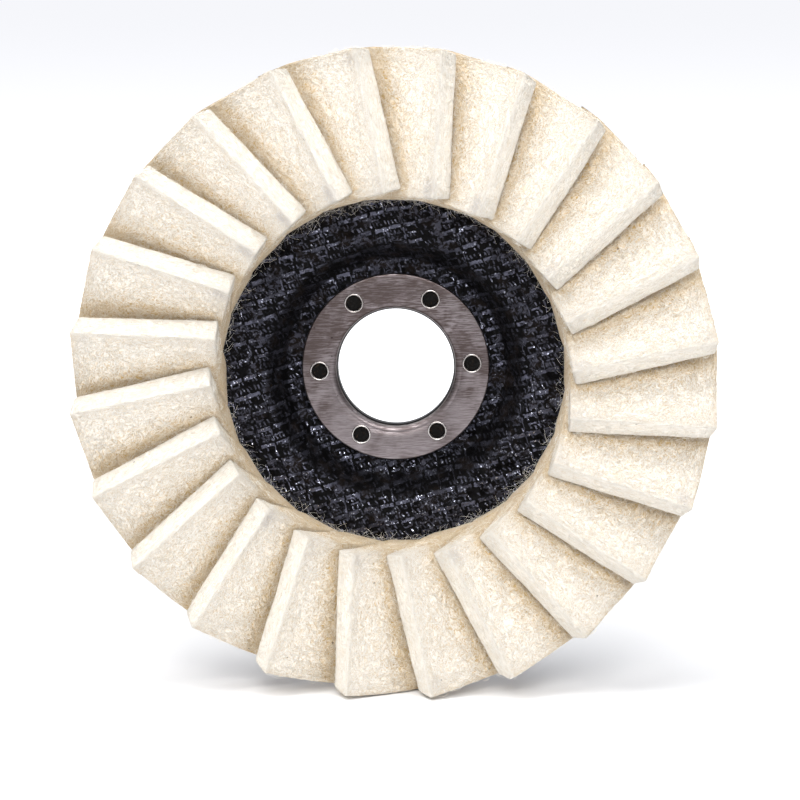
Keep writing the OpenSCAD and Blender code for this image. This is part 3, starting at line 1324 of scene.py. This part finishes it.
    def build_bed(self) -> BMesh:
        """Builds the adhesive bed with its lumpy outer edge.

        Returns:
            The mesh in mm, lying flat.
        """
        low, high = flat_depth("adhesive_bed")
        outer = node_radius("adhesive_bed")
        inner = self.bed_inner_r
        outline = [(inner, low + 0.01), (outer, low + 0.01), (outer + 0.25, low + 0.25),
                   (outer + 0.2, high - 0.35), (outer - 0.3, high - 0.02), (inner, high - 0.02)]
        bm = turned([Vector(point) for point in outline], self.bed_around)
        for vert in bm.verts:
            radius = math.hypot(vert.co.x, vert.co.y)
            if radius > outer - 0.1:
                swell = 1 + 0.012 * noise.noise(vert.co * 0.5) + 0.004 * noise.noise(vert.co * 1.7)
                vert.co.x *= swell - 0.004
                vert.co.y *= swell - 0.004
        return bm

    def build(self, cloth: Material, glue: Material) -> None:
        """Builds the plies and the bed.

        Args:
            cloth: finish of the plies.
            glue: finish of the adhesive.
        """
        front = self.build_ply(Side.WORK, *self.work_cloth, Weave())
        dress(finish_mesh("woven_working_ply", front), cloth, ["front_glass_ply"])
        back = self.build_ply(Side.DRIVE, self.drive_cloth_from, self.rim_r - self.rim_margin,
                              Weave(turn=-31.0, seed=17, relief=0.26))
        dress(finish_mesh("woven_drive_ply", back), cloth, ["back_glass_ply"])
        dress(finish_mesh("glue_bed", self.build_bed()), glue, ["adhesive_bed"])


# ---------------------------------------------------------------- hub


@dataclass
class Hub:
    """The two pressed steel rings that line the hole."""

    bore_r: float = 11.115
    sheet: float = 1.0
    shoulder: float = 1.4
    hole_r: float = 1.5
    hole_circle_r: float = 14.65
    hole_turn: float = 3.1
    holes: int = 6
    rim_round: float = 0.35
    lip_round: float = 0.20
    drill_depth: float = 6.0
    around: int = 192
    hole_around: int = 40

    def __post_init__(self) -> None:
        """Reads the rings' levels and radii from the frame."""
        self.low, self.high = flat_depth("front_hub_ring")
        self.rim_r = node_radius("front_hub_ring")
        self.back_low, self.back_high = flat_depth("back_hub_ring")
        self.back_rim_r = node_radius("back_hub_ring")

    @staticmethod
    def arc(centre: tuple[float, float], radius: float, start: float, end: float,
            steps: int) -> list[tuple[float, float]]:
        """Points on an arc, angles in degrees."""
        angles = [math.radians(mix(start, end, k / steps)) for k in range(steps + 1)]
        return [(centre[0] + radius * math.cos(a), centre[1] + radius * math.sin(a))
                for a in angles]

    def spun(self, outline: list[tuple[float, float]]) -> BMesh:
        """Turns a closed outline of radius and height into a ring."""
        return turned([Vector(point) for point in outline], self.around)

    def hole_places(self) -> list[Vector]:
        """Centres of the keying holes, lying flat, in mm."""
        turns = [math.radians(self.hole_turn + 360.0 * k / self.holes) for k in range(self.holes)]
        return [Vector((math.cos(t), math.sin(t), 0)) * self.hole_circle_r for t in turns]

    def build_front(self) -> Object:
        """Builds the front ring with its collar, rolled shoulder and keying holes.

        Returns:
            The ring, standing, with its holes cut.
        """
        floor = self.high - self.sheet
        outline = [(self.bore_r, self.low + 0.15), (self.bore_r + 0.15, self.low),
                   (self.bore_r + self.sheet - 0.1, self.low),
                   (self.bore_r + self.sheet, self.low + 0.1),
                   (self.bore_r + self.sheet, floor), (self.rim_r - 0.1, floor),
                   (self.rim_r, floor + 0.1)]
        outline += self.arc((self.rim_r - self.rim_round, self.high - self.rim_round),
                            self.rim_round, 0, 90, 6)
        outline += [(self.rim_r - 2.6, self.high), (self.bore_r + 3.2, self.high - 0.01),
                    (self.bore_r + 2.6, self.high - 0.05), (self.bore_r + 2.0, self.high - 0.13),
                    (self.bore_r + 1.5, self.high - 0.24)]
        outline += self.arc((self.bore_r + self.shoulder, self.high - self.shoulder - 0.22),
                            self.shoulder, 78, 180, 14)
        ring = finish_mesh("steel_ring_front", self.mark_bore(self.spun(outline)))
        bm = bmesh.new()
        for place in self.hole_places():
            bmesh.ops.create_cone(bm, cap_ends=True, segments=self.hole_around,
                                  radius1=self.hole_r, radius2=self.hole_r,
                                  depth=self.drill_depth,
                                  matrix=Matrix.Translation(place + Vector((0, 0, self.high))))
        drill = finish_mesh("drill", bm)
        cut = ring.modifiers.new("holes", "BOOLEAN")
        cut.operation = "DIFFERENCE"
        cut.solver = "EXACT"
        cut.object = drill
        holed = applied(ring)
        ring.modifiers.clear()
        ring.data = holed
        bpy.data.objects.remove(drill)
        ring.data.shade_smooth()
        ring.data.set_sharp_from_angle(angle=CRISP)
        return ring

    def mark_bore(self, bm: BMesh) -> BMesh:
        """Marks how near a ring's surface is to the wall of the hole, from 0 to 1.

        Args:
            bm: the ring, lying flat, changed in place.

        Returns:
            The ring.
        """
        bore = bm.verts.layers.float.new("bore")
        for vert in bm.verts:
            radius = math.hypot(vert.co.x, vert.co.y)
            vert[bore] = smooth(self.bore_r + 0.75, self.bore_r + 0.02, radius)
        return bm

    def build_lips(self) -> BMesh:
        """Builds the burnished lips that piercing left round the keying holes.

        Returns:
            The mesh in mm, lying flat.
        """
        bm = bmesh.new()
        for place in self.hole_places():
            section = [(self.hole_r - 0.02, self.high - 0.45)]
            section += self.arc((self.hole_r + 0.18, self.high - 0.03), self.lip_round, 180, 0, 8)
            section += [(self.hole_r + 0.38, self.high - 0.08)]
            ring = [bm.verts.new((place.x + r, place.y, z)) for r, z in section]
            edges = [bm.edges.new((a, b)) for a, b in zip(ring, ring[1:] + ring[:1])]
            bmesh.ops.spin(bm, geom=ring + edges, cent=place, axis=(0, 0, 1),
                           angle=2 * math.pi, steps=self.hole_around, use_merge=True)
        return bm

    def build_back(self) -> BMesh:
        """Builds the plain back ring.

        Returns:
            The mesh in mm, lying flat.
        """
        inner = self.bore_r + 0.2
        outline = [(inner, self.back_high - 0.1), (inner + 0.1, self.back_high),
                   (self.back_rim_r - 0.1, self.back_high),
                   (self.back_rim_r, self.back_high - 0.1)]
        outline += self.arc((self.back_rim_r - self.rim_round, self.back_low + self.rim_round),
                            self.rim_round, 0, -90, 6)
        outline += self.arc((inner + 0.4, self.back_low + 0.4), 0.4, 270, 180, 8)
        return self.spun(outline)

    def build(self, steel: Material, burnished: Material) -> None:
        """Builds the rings and the lips.

        Args:
            steel: finish of the rings.
            burnished: finish of the lips.
        """
        dress(self.build_front(), steel, ["front_hub_ring"])
        dress(finish_mesh("hole_lips", self.build_lips()), burnished)
        back = finish_mesh("steel_ring_back", self.build_back())
        back.data.set_sharp_from_angle(angle=CRISP)
        dress(back, steel, ["back_hub_ring"])


# ---------------------------------------------------------------- loose wool


@dataclass
class StrayWool:
    """Wool fibres that stand off the felt over the black cloth."""

    count: int = 900
    radius: float = 32.7
    fibre_r: float = 0.010
    points: int = 5
    reaches: tuple[float, ...] = (0.3, 0.4, 0.5, 0.6, 0.8, 1.1, 1.9)
    seed: int = 71

    def build(self, fibre: Material) -> None:
        """Builds the fibres.

        Args:
            fibre: their finish.
        """
        look = random.Random(self.seed)
        floor, _ = flat_depth("adhesive_bed")
        curve = hair_curve("stray", self.fibre_r, smoothness=4)
        for _ in range(self.count):
            angle = look.uniform(0, 2 * math.pi)
            start = self.radius + look.uniform(-0.4, 0.4)
            z = floor + look.uniform(0.2, 1.8)
            reach = look.choice(self.reaches)
            drift = look.uniform(-2.4, 2.4)
            for step, point in enumerate(hair(curve, self.points).points):
                t = step / (self.points - 1)
                r = start - reach * t + look.gauss(0, 0.10)
                a = angle + drift * t * t / self.radius + look.gauss(0, 0.004)
                at = Vector((r * math.cos(a), r * math.sin(a), z + look.gauss(0, 0.15) - 0.2 * t))
                point.co = (*at, 1.0)
                point.radius = look.uniform(0.7, 1.2)
        dress(tubes("stray_wool", curve), fibre)


# ---------------------------------------------------------------- studio


@dataclass(frozen=True)
class Lamp:
    """A square soft light that looks at the wheel."""

    name: str
    place: Triple
    size: float
    watts: float
    colour: Triple

    def build(self) -> None:
        """Hangs the lamp."""
        data = bpy.data.lights.new(self.name, "AREA")
        data.size = self.size
        data.energy = self.watts
        data.color = self.colour
        light = put_in_scene(self.name, data)
        light.location = self.place
        light.rotation_euler = (-Vector(self.place)).to_track_quat("-Z", "Y").to_euler()


WARM, COOL = (1.0, 0.99, 0.97), (0.97, 0.985, 1.0)
LAMPS = (
    Lamp("front", (0.0, -0.66, 0.36), 0.35, 3.75, WARM),
    Lamp("overhead", (-0.05, -0.20, 0.85), 0.45, 3.55, WARM),
    Lamp("left", (-0.45, -0.25, 0.70), 0.45, 3.45, WARM),
    Lamp("right", (0.45, -0.25, 0.65), 0.45, 1.75, COOL),
)


@dataclass
class Studio:
    """White table and backdrop, soft light from above, and the camera."""

    distance: float = 0.450
    azimuth: float = 2.03
    elevation: float = 7.0
    yaw: float = 0.105
    pitch: float = -0.80
    lens: float = 105.7
    sensor: float = 36.0
    nearest: float = 0.01
    floor_size: float = 6.0

    def build_camera(self, target: Vector) -> None:
        """Places the camera in front of the wheel, a little above its axis.

        Args:
            target: centre of the hub's front face.
        """
        a, e = math.radians(self.azimuth), math.radians(self.elevation)
        back = Vector((math.sin(a) * math.cos(e), -math.cos(a) * math.cos(e), math.sin(e)))
        ahead = -back
        right = ahead.cross(Vector((0, 0, 1))).normalized()
        up = right.cross(ahead)
        y, p = math.radians(self.yaw), math.radians(self.pitch)
        look = (ahead * math.cos(y) * math.cos(p) + right * math.sin(y) * math.cos(p)
                + up * math.sin(p))
        data = bpy.data.cameras.new("camera")
        data.lens = self.lens
        data.sensor_width = self.sensor
        data.clip_start = self.nearest
        camera = put_in_scene("camera", data)
        camera.location = target + back * self.distance
        camera.rotation_euler = look.to_track_quat("-Z", "Y").to_euler()
        bpy.context.scene.camera = camera

    def build_floor(self, level: float) -> None:
        """Makes the white table top.

        Args:
            level: height of its surface.
        """
        bm = bmesh.new()
        bmesh.ops.create_grid(bm, x_segments=4, y_segments=4, size=self.floor_size / 2)
        bmesh.ops.translate(bm, verts=bm.verts[:], vec=(0, 0, level))
        mesh = bpy.data.meshes.new("table_top")
        bm.to_mesh(mesh)
        bm.free()
        table = put_in_scene("table_top", mesh)
        s = Shade("white_table")
        where = s.object_at()
        tone = s.ramp(s.clouds(where, 8.0, detail=2.0), 0.3, 0.7)
        s.feed("Base Color", s.colour(tone, (0.93, 0.94, 0.96), (0.95, 0.955, 0.97)))
        _, depth, _ = s.split(where)
        behind = s.ramp(depth, 0.06, 0.5)
        away = s.node("VectorMath", operation="LENGTH")
        s.link(where, away.inputs[0])
        seen = s.node("LightPath").outputs["Is Camera Ray"]
        around = s.math("MULTIPLY", s.ramp(away.outputs["Value"], 0.12, 0.5), seen)
        s.feed("Emission Strength", s.math("MAXIMUM", behind, around))
        s.set(Roughness=0.6, Specular_IOR_Level=0.15, Emission_Color=(0.97, 0.98, 1.0, 1.0))
        table.data.materials.append(s.block)
        table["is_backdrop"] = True

    def build_light(self) -> None:
        """Makes a room that looks white and lights softly, and the lamps over the wheel."""
        s = Shade("white_room", world=True)
        _, ahead, above = s.split(s.node("TexCoord").outputs["Generated"])
        glow = s.node("MapRange", From_Min=-0.2, From_Max=0.6, To_Min=0.2, To_Max=0.7)
        s.link(ahead, glow.inputs["Value"])
        strength = s.node("Mix")
        s.link(s.node("LightPath").outputs["Is Camera Ray"], strength.inputs["Factor"])
        s.link(glow.outputs["Result"], strength.inputs["A"])
        s.link(s.ramp(above, -0.036, 0.03, 1.10, 0.965), strength.inputs["B"])
        s.feed("Strength", strength.outputs["Result"])
        s.set(Color=(0.955, 0.962, 1.0, 1.0))
        bpy.context.scene.world = s.block
        for lamp in LAMPS:
            lamp.build()


def main() -> None:
    logging.basicConfig(level=logging.INFO, format="%(name)s: %(message)s")
    cad_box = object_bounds()
    studio = Studio()
    studio.build_camera(Vector((0.0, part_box("front_hub_ring")[0].y, 0.0)))
    studio.build_floor(cad_box[0].z)
    studio.build_light()
    fibre = WoolFibre().make()
    FlapRing().build(WoolFelt().make(), fibre)
    BackingPlate().build(ResinCloth().make(), HoneyGlue().make())
    burnished = BrushedSteel(light=(0.56, 0.54, 0.53), warm=(0.36, 0.33, 0.32), roughness=0.2,
                             grain=0.3)
    Hub().build(BrushedSteel().make("brushed_steel"), burnished.make("burnished_steel"))
    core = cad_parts["backing_core"]
    core.data.materials.clear()
    core.data.materials.append(FibreResin().make())
    StrayWool().build(fibre)
    bpy.context.scene.view_settings.view_transform = "Standard"


if __name__ == "__main__":
    main()
